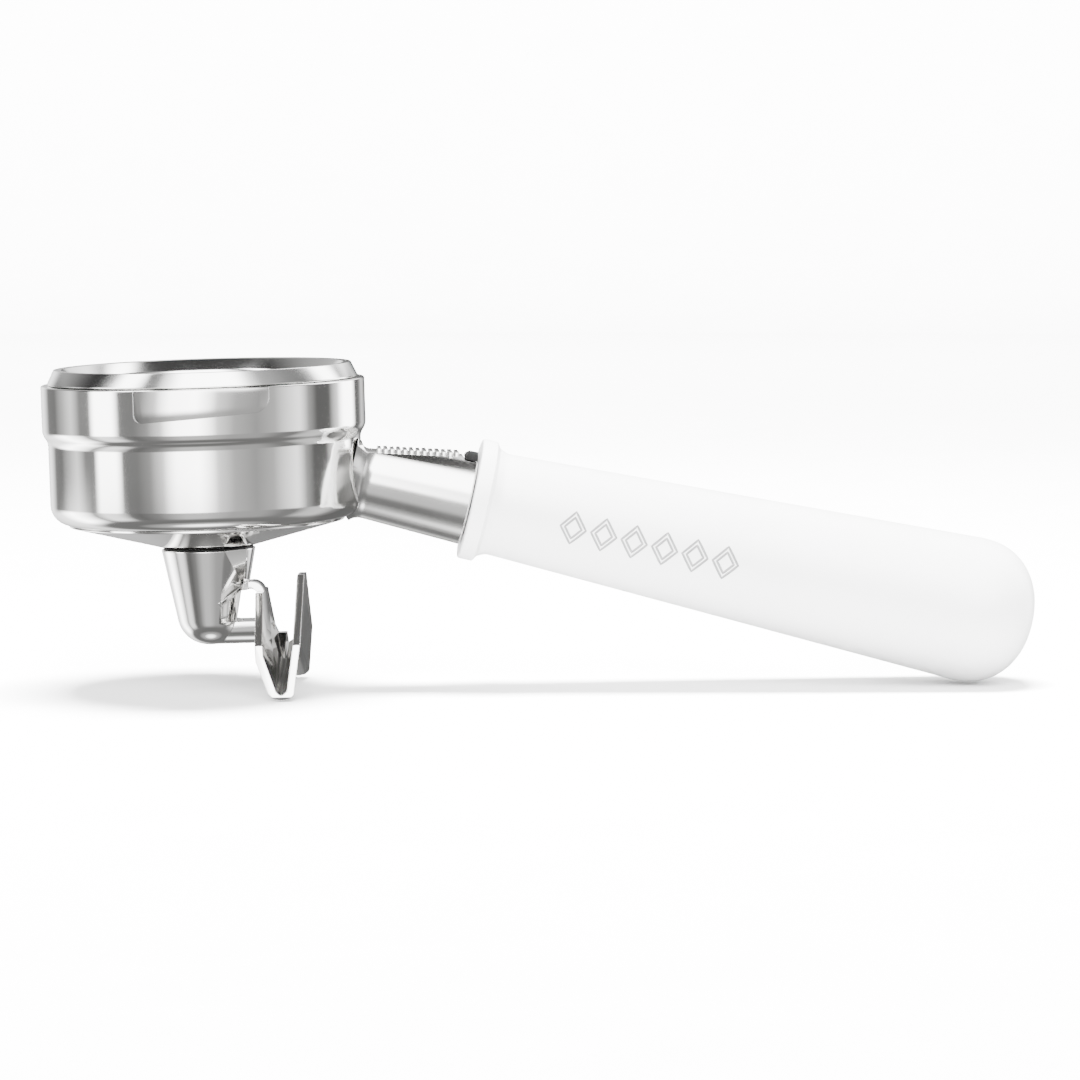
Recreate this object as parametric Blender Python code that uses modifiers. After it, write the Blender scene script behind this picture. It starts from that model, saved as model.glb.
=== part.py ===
"""Portafilter for a 58 mm espresso machine, at rest on its two spout tips and the end of its handle.

Everything is built in the head's own frame and hangs from one empty, which stands the part on z = 0:
  head frame    origin at the centre of the body's top face, Z along the basket's axis, X towards the handle
  handle frame  Z along the neck and the handle, away from the basket; its -X side faces up
  spout frame   the head frame turned about the basket's axis by the angle at which the spout stops
"""

import math

import bmesh
import bpy
from mathutils import Matrix, Vector

MM = 0.001
GAP = 0.3 * MM
THIN_GAP = 0.15 * MM
MERGE = 0.00001

# How the part stands.
REST_TILT = math.radians(1.62)
HEAD_X = -76.43 * MM
HEAD_Z = 69.66 * MM
NECK_SLOPE = math.radians(14.445)
NECK_DROP = -13.18 * MM
SPOUT_ANGLE = math.radians(-5.0)

# Body: a turned bowl with a step, open at both ends, and two bayonet lugs.
BODY_R = 36.34 * MM
BODY_LOW_R = 35.1 * MM
STEP_TOP = -9.7 * MM
STEP_END = -13.9 * MM
ROUND_TOP = -27.0 * MM
BODY_FOOT = -31.3 * MM
BODY_FOOT_R = 31.2 * MM
BORE_R = 30.6 * MM
LEDGE_R = 27.6 * MM
LEDGE_TOP = -23.6 * MM
LEDGE_FOOT = -25.3 * MM
THREAD_R = 29.9 * MM
GROOVE_R = 32.3 * MM
GROOVE_Z = -6.0 * MM
GROOVE_HALF = 1.1 * MM
LUG_R = 39.9 * MM
LUG_HALF_ANGLE = math.radians(21.7)
LUG_DEEP = 7.1 * MM
LUG_SHALLOW = 5.2 * MM
LUG_THICK = 8.0 * MM

# Filter basket and the wire that holds it.
RIM_R = 35.0 * MM
RIM_TOP_R = 33.4 * MM
RIM_TOP = 3.49 * MM
RIM_BORE_R = 31.6 * MM
BASKET_R = 30.1 * MM
BASKET_WALL = 0.9 * MM
BASKET_FOOT = -21.9 * MM
WIRE_R = 0.7 * MM
WIRE_RING_R = 31.35 * MM
WIRE_OPEN_ANGLE = math.radians(18)

# Screw-in funnel base with the nipple that carries the spout.
BASE_RIM_R = 31.2 * MM
BASE_TOP = -27.5 * MM
CONE_END_R = 10.2 * MM
CONE_END = -37.1 * MM
NIPPLE_R = 8.1 * MM
NIPPLE_BORE_R = 5.6 * MM
NIPPLE_FOOT = -44.4 * MM

# Spout: a cup, an arched bridge and two blades that meet in a V.
CUP_TOP = -37.95 * MM
CUP_R = 10.6 * MM
CUP_TAPER = 0.1975
CUP_BEND = -53.4 * MM
CUP_FOOT = -59.6 * MM
CUP_BORE_R = 8.4 * MM
CUP_BORE_END = -44.8 * MM
LINER_SKIN = 1.6 * MM
DRAIN_R = 4.9 * MM
WINDOW_X = 3.05 * MM
WINDOW_TOP = -49.9 * MM
WINDOW_FOOT = -54.2 * MM
TONGUE_HALF = 3.4 * MM
BLADE_APEX = -44.1 * MM
BLADE_CORNER_Y = 19.0 * MM
BLADE_CORNER_Z = -58.3 * MM
BLADE_TIP_Y = 23.7 * MM
BLADE_TIP_Z = -69.3 * MM
TROUGH_FALL = 0.4

# Neck and handle, along the handle frame's Z.
NECK_END = 61.0 * MM
NECK_END_R = 10.75 * MM
NECK_ROOT = 37.6 * MM
NECK_ROOT_R = 9.73 * MM
SPIGOT_R = 6.0 * MM
SPIGOT_END = 33.5 * MM
COLLAR_START = 61.3 * MM
COLLAR_END = 64.6 * MM
COLLAR_R = 13.8 * MM
GRIP_START = 68.4 * MM
GRIP_START_R = 11.75 * MM
GRIP_TAPER = 0.044
GRIP_SHOULDER = 179.3 * MM
GRIP_END = 192.7 * MM
STUD_R = 5.0 * MM
INSERT_R = 7.0 * MM


def clear_scene():
    for thing in list(bpy.data.objects):
        bpy.data.objects.remove(thing, do_unlink=True)


def new_collection(name):
    collection = bpy.data.collections.new(name)
    bpy.context.scene.collection.children.link(collection)
    return collection


def new_material(name, colour, roughness, metallic):
    material = bpy.data.materials.new(name)
    material.use_nodes = True
    shader = material.node_tree.nodes["Principled BSDF"]
    shader.inputs["Base Color"].default_value = (*colour, 1.0)
    shader.inputs["Roughness"].default_value = roughness
    shader.inputs["Metallic"].default_value = metallic
    return material


def new_empty(name, parent=None, location=(0, 0, 0), rotation=(0, 0, 0)):
    empty = bpy.data.objects.new(name, None)
    PARTS.objects.link(empty)
    empty.parent = parent
    empty.location = location
    empty.rotation_euler = rotation
    return empty


def arc(centre, radius, start, end, points):
    """Points of a circular arc in the profile plane, angles in degrees from +X towards +Z."""
    found = []
    for index in range(points):
        angle = math.radians(start + (end - start) * index / (points - 1))
        x = centre[0] + radius * math.cos(angle)
        z = centre[1] + radius * math.sin(angle)
        found.append((x, z))
    return found


def round_bar(radius, top, foot):
    """Profile of a plain cylinder."""
    return [(0, top), (radius, top), (radius, foot), (0, foot)]


def add_object(name, mesh, parent, material=None, helper=False):
    thing = bpy.data.objects.new(name, mesh)
    (CUTTERS if helper else PARTS).objects.link(thing)
    thing.parent = parent
    if material:
        mesh.materials.append(material)
    if helper:
        thing.hide_render = True
        thing.display_type = "WIRE"
    return thing


def turned(name, outline, parent, material=None, steps=48, helper=False, closed=True):
    """A turned solid: the outline runs down the outer side and is spun about Z."""
    mesh = bpy.data.meshes.new(name)
    count = len(outline)
    edges = [(index, index + 1) for index in range(count - 1)]
    if closed:
        edges.append((count - 1, 0))
    mesh.from_pydata([(x, 0, z) for x, z in outline], edges, [])
    thing = add_object(name, mesh, parent, material, helper)
    screw = thing.modifiers.new("spin", "SCREW")
    screw.angle = math.tau
    screw.steps = steps
    screw.render_steps = steps
    screw.use_merge_vertices = True
    screw.merge_threshold = MERGE
    screw.use_smooth_shade = True
    return thing


def extruded(name, outline, half, parent, material=None, helper=False, plane="XZ", fall=0.0):
    """A flat outline pushed both ways along the third axis; fall shears it down away from the middle."""
    curve = bpy.data.curves.new(name, "CURVE")
    curve.dimensions = "2D"
    curve.fill_mode = "BOTH"
    curve.extrude = half
    spline = curve.splines.new("POLY")
    spline.points.add(len(outline) - 1)
    for point, (u, v) in zip(spline.points, outline):
        point.co = (u, v, 0, 1)
    spline.use_cyclic_u = True
    guide = bpy.data.objects.new(name + "_outline", curve)
    CUTTERS.objects.link(guide)
    bpy.context.view_layer.update()
    graph = bpy.context.evaluated_depsgraph_get()
    mesh = bpy.data.meshes.new_from_object(guide.evaluated_get(graph))
    mesh.name = name
    bpy.data.objects.remove(guide, do_unlink=True)
    turn = {
        "XY": Matrix.Identity(4),
        "XZ": Matrix.Rotation(math.pi / 2, 4, "X"),
        "YZ": Matrix(((0, 0, 1, 0), (1, 0, 0, 0), (0, 1, 0, 0), (0, 0, 0, 1))),
    }[plane]
    mesh.transform(turn)
    work = bmesh.new()
    work.from_mesh(mesh)
    bmesh.ops.remove_doubles(work, verts=work.verts, dist=MERGE)
    for vertex in work.verts:
        vertex.co.z += fall * vertex.co.y
    bmesh.ops.recalc_face_normals(work, faces=work.faces)
    work.to_mesh(mesh)
    work.free()
    return add_object(name, mesh, parent, material, helper)


def boolean(target, other, operation):
    modifier = target.modifiers.new(operation.lower() + "_" + other.name, "BOOLEAN")
    modifier.operation = operation
    modifier.object = other
    modifier.solver = "EXACT"
    return modifier


def half_space(name, point, normal, size, parent):
    """A block whose one face passes through the point; it fills the side that the normal looks at."""
    work = bmesh.new()
    bmesh.ops.create_cube(work, size=1.0)
    normal = Vector(normal).normalized()
    turn = Vector((0, 0, 1)).rotation_difference(normal).to_matrix().to_4x4()
    place = Matrix.Translation(Vector(point) + normal * size / 2) @ turn @ Matrix.Scale(size, 4)
    bmesh.ops.transform(work, matrix=place, verts=work.verts)
    mesh = bpy.data.meshes.new(name)
    work.to_mesh(mesh)
    work.free()
    return add_object(name, mesh, parent, helper=True)


def smooth_all():
    for thing in PARTS.objects:
        if thing.type == "MESH":
            thing.data.shade_smooth()
            thing.data.set_sharp_from_angle(angle=math.radians(30))


# ---------------------------------------------------------------- body


def body_outside(offset=0.0):
    """Outer side of the body from its top edge to its foot, moved outwards by the offset."""
    chamfer = 0.5 * MM
    step = BODY_R - BODY_LOW_R
    middle = (STEP_TOP + STEP_END) / 2
    side = [
        (BODY_R - chamfer, 0),
        (BODY_R, -chamfer),
        (BODY_R, STEP_TOP),
        (BODY_R - 0.2 * step, STEP_TOP - 0.9 * MM),
        (BODY_R - 0.5 * step, middle),
        (BODY_LOW_R + 0.2 * step, STEP_END + 0.9 * MM),
        (BODY_LOW_R, STEP_END),
    ]
    radius = 4.4 * MM
    side += arc((BODY_LOW_R - radius, ROUND_TOP), radius, 0, -78, 7)
    return [(x + offset, z) for x, z in side]


def make_lug(name, angle):
    """A bayonet lug: a block on the body's shoulder whose underside is a flat ramp."""
    half = LUG_R * math.sin(LUG_HALF_ANGLE)
    outline = [(-half, 0.2 * MM), (half, 0.2 * MM), (half, -LUG_SHALLOW + 1.5 * MM)]
    outline += [(half - 1.5 * MM, -LUG_SHALLOW), (-half + 1.2 * MM, -LUG_DEEP)]
    outline += [(-half, -LUG_DEEP + 1.2 * MM)]
    lug = extruded(name, outline, LUG_THICK / 2, HEAD, helper=True)
    middle = LUG_R - LUG_THICK / 2 + 1.0 * MM
    spin = Matrix.Rotation(angle, 4, "Z") @ Matrix.Translation((0, -middle, 0))
    lug.data.transform(spin)
    face = round_bar(LUG_R, 0, -9 * MM)
    boolean(lug, turned(name + "_face", face, HEAD, steps=96, helper=True, closed=False), "INTERSECT")
    return lug


def make_body(material):
    outline = body_outside()
    outline += [
        (BODY_FOOT_R, BODY_FOOT),
        (THREAD_R, BODY_FOOT),
        (THREAD_R, LEDGE_FOOT),
        (LEDGE_R, LEDGE_FOOT),
        (LEDGE_R, LEDGE_TOP),
        (BORE_R, LEDGE_TOP + 1.0 * MM),
        (BORE_R, GROOVE_Z - GROOVE_HALF),
        (GROOVE_R, GROOVE_Z - GROOVE_HALF),
        (GROOVE_R, GROOVE_Z + GROOVE_HALF),
        (BORE_R, GROOVE_Z + GROOVE_HALF),
        (BORE_R, -0.4 * MM),
        (BORE_R + 0.4 * MM, 0),
    ]
    body = turned("body", outline, HEAD, material)
    boolean(body, make_lug("lug_near", 0.0), "UNION")
    boolean(body, make_lug("lug_far", math.pi), "UNION")
    socket = round_bar(SPIGOT_R + GAP, 40 * MM, SPIGOT_END - GAP)
    boolean(body, turned("neck_socket", socket, HANDLE, steps=24, helper=True, closed=False), "DIFFERENCE")
    return body


# ---------------------------------------------------------------- basket


def make_basket(material):
    inner = BASKET_R - BASKET_WALL
    outline = [
        (0, BASKET_FOOT + BASKET_WALL),
        (inner - 2.1 * MM, BASKET_FOOT + BASKET_WALL),
        (inner - 1.1 * MM, BASKET_FOOT + 1.7 * MM),
        (inner - 0.25 * MM, BASKET_FOOT + 4.6 * MM),
        (inner, 0.6 * MM),
        (RIM_BORE_R, RIM_TOP),
        (RIM_TOP_R, RIM_TOP),
        (RIM_R, 0.55 * MM),
        (RIM_R - 0.2 * MM, GAP),
        (BASKET_R, GAP),
        (BASKET_R - 0.25 * MM, BASKET_FOOT + 4 * MM),
        (BASKET_R - 1.6 * MM, BASKET_FOOT + 0.4 * MM),
        (BASKET_R - 2.4 * MM, BASKET_FOOT),
        (0, BASKET_FOOT),
    ]
    return turned("filter_basket", outline, HEAD, material, closed=False)


def make_basket_spring(material):
    curve = bpy.data.curves.new("basket_spring", "CURVE")
    curve.dimensions = "3D"
    curve.bevel_depth = WIRE_R
    curve.bevel_resolution = 2
    curve.use_fill_caps = True
    count = 40
    spline = curve.splines.new("POLY")
    spline.points.add(count - 1)
    sweep = math.tau - WIRE_OPEN_ANGLE
    for index, point in enumerate(spline.points):
        angle = math.pi + WIRE_OPEN_ANGLE / 2 + sweep * index / (count - 1)
        point.co = (WIRE_RING_R * math.cos(angle), WIRE_RING_R * math.sin(angle), GROOVE_Z, 1)
    curve.materials.append(material)
    spring = bpy.data.objects.new("basket_spring", curve)
    PARTS.objects.link(spring)
    spring.parent = HEAD
    return spring


# ---------------------------------------------------------------- funnel base


def make_base(material):
    top = BODY_FOOT - GAP
    outline = [
        (THREAD_R - GAP, BASE_TOP),
        (THREAD_R - GAP, top),
        (BASE_RIM_R - 0.15 * MM, top),
        (BASE_RIM_R, top - 0.2 * MM),
        (CONE_END_R, CONE_END + 0.1 * MM),
        (CONE_END_R - 0.2 * MM, CONE_END),
        (NIPPLE_R, CONE_END),
        (NIPPLE_R, NIPPLE_FOOT + 0.8 * MM),
        (NIPPLE_R - 0.8 * MM, NIPPLE_FOOT),
        (NIPPLE_BORE_R, NIPPLE_FOOT),
        (NIPPLE_BORE_R, CONE_END + 2.3 * MM),
        (LEDGE_R, top + 1.4 * MM),
        (LEDGE_R, BASE_TOP),
    ]
    return turned("funnel_base", outline, HEAD, material)


def make_ring(name, outer, inner, top, foot, parent, material, steps=48):
    outline = [(outer, top), (outer, foot), (inner, foot), (inner, top)]
    return turned(name, outline, parent, material, steps)


# ---------------------------------------------------------------- spout


def cup_radius(z):
    return CUP_R - CUP_TAPER * (CUP_TOP - z)


def make_cup_outside():
    bend = 6.6 * MM
    edge = cup_radius(CUP_BEND)
    outline = [(0, CUP_TOP), (CUP_R - 0.3 * MM, CUP_TOP)]
    outline += [(cup_radius(CUP_TOP - 0.4 * MM), CUP_TOP - 0.4 * MM), (edge, CUP_BEND)]
    for angle in (22, 40, 58, 74):
        x = edge - bend + bend * math.cos(math.radians(angle))
        z = CUP_BEND - (CUP_BEND - CUP_FOOT) * math.sin(math.radians(angle))
        outline.append((x, z))
    outline += [(0, CUP_FOOT)]
    return outline


def make_spout(material):
    spout = turned("spout", make_cup_outside(), SPOUT, material, steps=40, closed=False)

    # Flats that narrow the cup's outlet side to a tongue, above the line of the bridge.
    roof_line = Vector((9.0 * MM - WINDOW_X, 0, 4.1 * MM))
    for side, name in ((-1, "facet_near"), (1, "facet_far")):
        high = Vector((8.9 * MM, side * 4.85 * MM, -40.4 * MM))
        low = Vector((WINDOW_X, side * 7.75 * MM, -49.4 * MM))
        tongue = Vector((9.0 * MM, side * TONGUE_HALF, -45.3 * MM))
        normal = (low - high).cross(tongue - high)
        if normal.x < 0:
            normal = -normal
        facet = half_space(name, high, normal, 30 * MM, SPOUT)
        above = half_space(name + "_above", (WINDOW_X, 0, -49.4 * MM), (-roof_line.z, 0, roof_line.x), 40 * MM, SPOUT)
        boolean(facet, above, "INTERSECT")
        boolean(spout, facet, "DIFFERENCE")

    # The side window, cut through the skin down to the liner.
    window = [
        (WINDOW_X, WINDOW_TOP - 0.4 * MM),
        (7.6 * MM, -47.0 * MM),
        (9.2 * MM, -46.7 * MM),
        (16 * MM, -46.7 * MM),
        (16 * MM, WINDOW_FOOT),
        (WINDOW_X, WINDOW_FOOT),
    ]
    boolean(spout, extruded("window", window, 14 * MM, SPOUT, helper=True), "DIFFERENCE")
    liner = [
        (0, -45.5 * MM),
        (cup_radius(-45.5 * MM) - LINER_SKIN, -45.5 * MM),
        (cup_radius(WINDOW_FOOT) - LINER_SKIN, WINDOW_FOOT - 0.6 * MM),
        (0, WINDOW_FOOT - 0.6 * MM),
    ]
    boolean(spout, turned("liner", liner, SPOUT, steps=40, helper=True, closed=False), "UNION")

    # The channel from the cup to the first blade.
    half = 4.4 * MM
    section = [(-half, -54.3 * MM), (-half, CUP_FOOT + half)]
    section += arc((0, CUP_FOOT + half), half, 200, 340, 8)
    section += [(half, CUP_FOOT + half), (half, -54.3 * MM)]
    channel = extruded("channel", section, 6.3 * MM, SPOUT, helper=True, plane="YZ")
    channel.data.transform(Matrix.Translation((6.0 * MM, 0, 0)))
    boolean(spout, channel, "UNION")

    # The bridge: an arched strip that narrows from the cup to the tongue and bends into the blade.
    bridge = [(2.6 * MM, -49.7 * MM), (7.4 * MM, -46.0 * MM)]
    bridge += arc((9.7 * MM, -48.3 * MM), 2.9 * MM, 120, 12, 7)
    bridge += [(12.5 * MM, -52 * MM), (11.0 * MM, -52 * MM)]
    bridge += arc((9.5 * MM, -48.6 * MM), 1.6 * MM, 10, 118, 6)
    bridge += [(7.6 * MM, -47.2 * MM), (3.2 * MM, -50.6 * MM)]
    strip = extruded("bridge", bridge, 12 * MM, SPOUT, helper=True)
    plan = [(2.0 * MM, -8.4 * MM), (9.0 * MM, -TONGUE_HALF), (30 * MM, -TONGUE_HALF)]
    plan += [(30 * MM, TONGUE_HALF), (9.0 * MM, TONGUE_HALF), (2.0 * MM, 8.4 * MM)]
    outline = extruded("bridge_plan", plan, 10 * MM, SPOUT, helper=True, plane="XY")
    outline.data.transform(Matrix.Translation((0, 0, -47 * MM)))
    boolean(strip, outline, "INTERSECT")
    boolean(spout, strip, "UNION")

    boolean(spout, make_blades(), "UNION")
    boolean(spout, make_ridge(), "UNION")

    # The way for the coffee: thread, drain, channel and the slot in the first blade.
    bore = [
        (0, CUP_TOP + 2 * MM),
        (CUP_BORE_R, CUP_TOP + 2 * MM),
        (CUP_BORE_R, CUP_BORE_END),
        (DRAIN_R, CUP_BORE_END - 1.5 * MM),
        (DRAIN_R - 0.6 * MM, -56.0 * MM),
        (DRAIN_R - 2.4 * MM, -58.0 * MM),
        (0, -58.0 * MM),
    ]
    boolean(spout, turned("drain", bore, SPOUT, steps=32, helper=True, closed=False), "DIFFERENCE")
    slot_half = 2.9 * MM
    slot = [(-slot_half, -54.9 * MM), (-slot_half, -56.6 * MM), (-1.3 * MM, -58.2 * MM)]
    slot += [(1.3 * MM, -58.2 * MM), (slot_half, -56.6 * MM), (slot_half, -54.9 * MM)]
    way = extruded("channel_way", slot, 7.5 * MM, SPOUT, helper=True, plane="YZ")
    way.data.transform(Matrix.Translation((7.0 * MM, 0, 0)))
    boolean(spout, way, "DIFFERENCE")
    return spout


def make_blades():
    """Two upright blades that run down into a V trough, falling from the middle to both tips."""
    section = [
        (10.6 * MM, -42.0 * MM),
        (11.6 * MM, -53.6 * MM),
        (14.4 * MM, -59.2 * MM),
        (15.7 * MM, -60.4 * MM),
        (17.4 * MM, -60.8 * MM),
        (19.0 * MM, -60.5 * MM),
        (20.1 * MM, -59.5 * MM),
        (21.5 * MM, -50.5 * MM),
        (21.85 * MM, -38.0 * MM),
        (20.2 * MM, -38.0 * MM),
        (19.8 * MM, -50.5 * MM),
        (18.5 * MM, -58.8 * MM),
        (17.3 * MM, -59.6 * MM),
        (16.2 * MM, -58.9 * MM),
        (13.3 * MM, -52.6 * MM),
        (12.3 * MM, -42.0 * MM),
    ]
    length = 26 * MM
    blades = None
    for side, name in ((-1, "trough_near"), (1, "trough_far")):
        arm = extruded(name, section, length / 2, SPOUT, helper=True, fall=-side * TROUGH_FALL)
        arm.data.transform(Matrix.Translation((0, side * (length / 2 - 0.5 * MM), 0)))
        drop = -TROUGH_FALL * (length / 2 - 0.5 * MM)
        arm.data.transform(Matrix.Translation((0, 0, drop)))
        if blades is None:
            blades = arm
        else:
            boolean(blades, arm, "UNION")
    left_top = -47.6 * MM
    kite = [(TONGUE_HALF, BLADE_APEX), (BLADE_CORNER_Y, BLADE_CORNER_Z)]
    kite += [(BLADE_TIP_Y, BLADE_TIP_Z), (BLADE_TIP_Y - 1.2 * MM, BLADE_TIP_Z - 2.5 * MM)]
    kite += [(-y, z) for y, z in reversed(kite)]
    outline = extruded("blade_outline", kite, 12 * MM, SPOUT, helper=True, plane="YZ")
    outline.data.transform(Matrix.Translation((16 * MM, 0, 0)))
    boolean(blades, outline, "INTERSECT")
    cut = [(5 * MM, left_top), (14 * MM, left_top), (14 * MM, -38 * MM), (5 * MM, -38 * MM)]
    boolean(blades, extruded("blade_under_bridge", cut, 20 * MM, SPOUT, helper=True), "DIFFERENCE")
    return blades


def make_ridge():
    """The roof-shaped divider that splits the flow between the two tips."""
    outline = [(0, -57.3 * MM), (-8.6 * MM, -63.6 * MM), (0, -61.0 * MM), (8.6 * MM, -63.6 * MM)]
    ridge = extruded("ridge", outline, 2.2 * MM, SPOUT, helper=True, plane="YZ")
    ridge.data.transform(Matrix.Translation((14.9 * MM, 0, 0)))
    return ridge


# ---------------------------------------------------------------- neck


def neck_radius(s):
    return NECK_ROOT_R + (s - NECK_ROOT) * (NECK_END_R - NECK_ROOT_R) / (NECK_END - NECK_ROOT)


def make_neck(material):
    hole = STUD_R + GAP
    outline = [
        (0, 43.0 * MM),
        (hole, 44.5 * MM),
        (hole, NECK_END),
        (NECK_END_R - 0.4 * MM, NECK_END),
        (neck_radius(NECK_END - 0.4 * MM), NECK_END - 0.4 * MM),
        (NECK_ROOT_R, NECK_ROOT),
        (neck_radius(36.8 * MM) + 0.25 * MM, 36.8 * MM),
        (10.6 * MM, 35.9 * MM),
        (11.6 * MM, 35.0 * MM),
        (12.4 * MM, 33.4 * MM),
        (0, 33.4 * MM),
    ]
    neck = turned("neck", outline, HANDLE, material, steps=40, closed=False)

    saddle = [(0, 0.5 * MM), (BODY_R, 0.5 * MM)] + body_outside(GAP)
    under = -45 * MM
    saddle += [(BASE_RIM_R + 0.5 * MM, BODY_FOOT), (BASE_RIM_R + 0.5 * MM, under), (0, under)]
    boolean(neck, turned("saddle", saddle, HEAD, steps=48, helper=True, closed=False), "DIFFERENCE")
    spigot = round_bar(SPIGOT_R, 38 * MM, SPIGOT_END)
    boolean(neck, turned("spigot", spigot, HANDLE, steps=24, helper=True, closed=False), "UNION")

    wall = BODY_LOW_R + GAP
    flat = [(wall - 1 * MM, -6 * MM), (wall - 1 * MM, -15.1 * MM), (wall + 0.05 * MM, -15.1 * MM)]
    flat += arc((wall + 1.85 * MM, -15.15 * MM), 1.8 * MM, 195, 262, 5)
    flat += [(58.0 * MM, -18.75 * MM), (58.1 * MM, -19.45 * MM), (64 * MM, -21.0 * MM), (64 * MM, -6 * MM)]
    boolean(neck, extruded("neck_flat", flat, 12 * MM, HEAD, helper=True), "DIFFERENCE")
    return neck


def make_stop_block(material):
    """The block that fills the end of the neck's flat up to the round of the neck, against the collar."""
    profile = round_bar(neck_radius(58 * MM) - 0.1 * MM, 60.8 * MM, 55 * MM)
    block = turned("stop_block", profile, HANDLE, material, steps=40, closed=False)
    keep = [(58.5 * MM, -19.25 * MM), (58.6 * MM, -18.6 * MM), (60.0 * MM, -17.4 * MM), (64 * MM, -10 * MM)]
    keep += [(66 * MM, -10 * MM), (66 * MM, -21.2 * MM)]
    boolean(block, extruded("stop_block_outline", keep, 12 * MM, HEAD, helper=True), "INTERSECT")
    return block


# ---------------------------------------------------------------- handle


def grip_radius(s):
    return GRIP_START_R + GRIP_TAPER * (s - GRIP_START)


def make_grip(material):
    end_r = grip_radius(GRIP_SHOULDER)
    outline = [
        (0, GRIP_END),
        (4.3 * MM, GRIP_END - 0.2 * MM),
        (7.4 * MM, GRIP_END - 0.75 * MM),
        (9.8 * MM, GRIP_END - 1.6 * MM),
        (11.6 * MM, GRIP_END - 2.7 * MM),
        (13.3 * MM, GRIP_END - 4.4 * MM),
        (14.9 * MM, GRIP_END - 6.7 * MM),
        (15.8 * MM, GRIP_END - 8.4 * MM),
        (end_r - 0.2 * MM, GRIP_END - 10.4 * MM),
        (end_r, GRIP_SHOULDER),
        (GRIP_START_R, GRIP_START),
        (GRIP_START_R + 0.1 * MM, GRIP_START - 1.0 * MM),
        (GRIP_START_R + 0.55 * MM, GRIP_START - 2.2 * MM),
        (COLLAR_R - 0.6 * MM, COLLAR_END + 0.5 * MM),
        (COLLAR_R, COLLAR_END),
        (COLLAR_R, COLLAR_START + 0.4 * MM),
        (COLLAR_R - 0.4 * MM, COLLAR_START),
        (INSERT_R + GAP, COLLAR_START),
        (INSERT_R + GAP, 87 * MM),
        (0, 88 * MM),
    ]
    return turned("handle_grip", outline, HANDLE, material, steps=40, closed=False)


# ---------------------------------------------------------------- assembly

clear_scene()
PARTS = new_collection("portafilter")
CUTTERS = new_collection("cutters")

STEEL = new_material("polished_steel", (0.80, 0.80, 0.79), 0.08, 1.0)
BASKET_STEEL = new_material("basket_steel", (0.72, 0.72, 0.71), 0.16, 1.0)
SPRING_STEEL = new_material("spring_steel", (0.45, 0.45, 0.46), 0.30, 1.0)
BRASS = new_material("brass", (0.72, 0.53, 0.26), 0.30, 1.0)
RUBBER = new_material("black_rubber", (0.02, 0.02, 0.02), 0.60, 0.0)
BLACK_PLASTIC = new_material("black_plastic", (0.03, 0.03, 0.03), 0.40, 0.0)
WHITE_PLASTIC = new_material("white_plastic", (0.90, 0.90, 0.90), 0.35, 0.0)

HEAD = new_empty("head_frame", None, (HEAD_X, 0, HEAD_Z), (0, -REST_TILT, 0))
HANDLE = new_empty("handle_frame", HEAD, (0, 0, NECK_DROP), (0, math.pi / 2 + NECK_SLOPE, 0))
SPOUT = new_empty("spout_frame", HEAD, (0, 0, 0), (0, 0, SPOUT_ANGLE))

make_body(STEEL)
make_basket(BASKET_STEEL)
make_basket_spring(SPRING_STEEL)
make_ring("base_seal", THREAD_R - GAP, LEDGE_R + GAP, LEDGE_FOOT - GAP, BASE_TOP + GAP, HEAD, RUBBER)
make_base(STEEL)
make_ring("spout_seal", 9.95 * MM, 8.45 * MM, CONE_END - THIN_GAP, CUP_TOP + THIN_GAP, HEAD, RUBBER, 40)
make_spout(STEEL)
make_neck(STEEL)
make_stop_block(BLACK_PLASTIC)
turned("handle_stud", round_bar(STUD_R, 85 * MM, 45 * MM), HANDLE, SPRING_STEEL, 24, closed=False)
make_ring("handle_washer", INSERT_R, STUD_R + GAP, 62.6 * MM, 61.4 * MM, HANDLE, RUBBER, 24)
make_ring("handle_insert", INSERT_R, STUD_R + GAP, 86.6 * MM, 62.9 * MM, HANDLE, BRASS, 24)
make_grip(WHITE_PLASTIC)
smooth_all()
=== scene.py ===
"""An espresso portafilter in polished steel with a white handle, standing on a pale studio floor."""

import math

import bmesh
import bpy
from mathutils import Matrix, Vector


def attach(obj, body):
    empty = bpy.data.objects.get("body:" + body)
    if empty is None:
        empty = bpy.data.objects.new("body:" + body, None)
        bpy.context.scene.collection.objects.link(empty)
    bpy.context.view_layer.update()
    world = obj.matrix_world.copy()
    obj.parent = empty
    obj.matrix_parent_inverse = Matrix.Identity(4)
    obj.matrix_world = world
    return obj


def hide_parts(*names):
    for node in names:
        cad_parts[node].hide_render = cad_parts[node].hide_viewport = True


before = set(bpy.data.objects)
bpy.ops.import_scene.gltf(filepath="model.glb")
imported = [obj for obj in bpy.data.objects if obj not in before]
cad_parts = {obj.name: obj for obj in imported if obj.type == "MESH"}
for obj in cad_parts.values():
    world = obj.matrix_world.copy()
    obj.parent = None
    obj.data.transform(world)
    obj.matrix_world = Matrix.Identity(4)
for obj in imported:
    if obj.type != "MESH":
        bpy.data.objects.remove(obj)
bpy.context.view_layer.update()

MM = 0.001

# How the part stands. The head frame has its origin at the centre of the bowl's top face.
REST_TILT = math.radians(1.62)
HEAD = Matrix.Translation((-76.43 * MM, 0, 69.66 * MM)) @ Matrix.Rotation(-REST_TILT, 4, "Y")
NECK_SLOPE = math.radians(14.445)
NECK_DROP = -13.18
HANDLE = HEAD @ Matrix.Translation((0, 0, NECK_DROP * MM)) @ Matrix.Rotation(math.pi / 2 + NECK_SLOPE, 4, "Y")
SPOUT = HEAD @ Matrix.Rotation(math.radians(-5.0), 4, "Z")
HEAD_TO_HANDLE = HANDLE.inverted() @ HEAD

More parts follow.
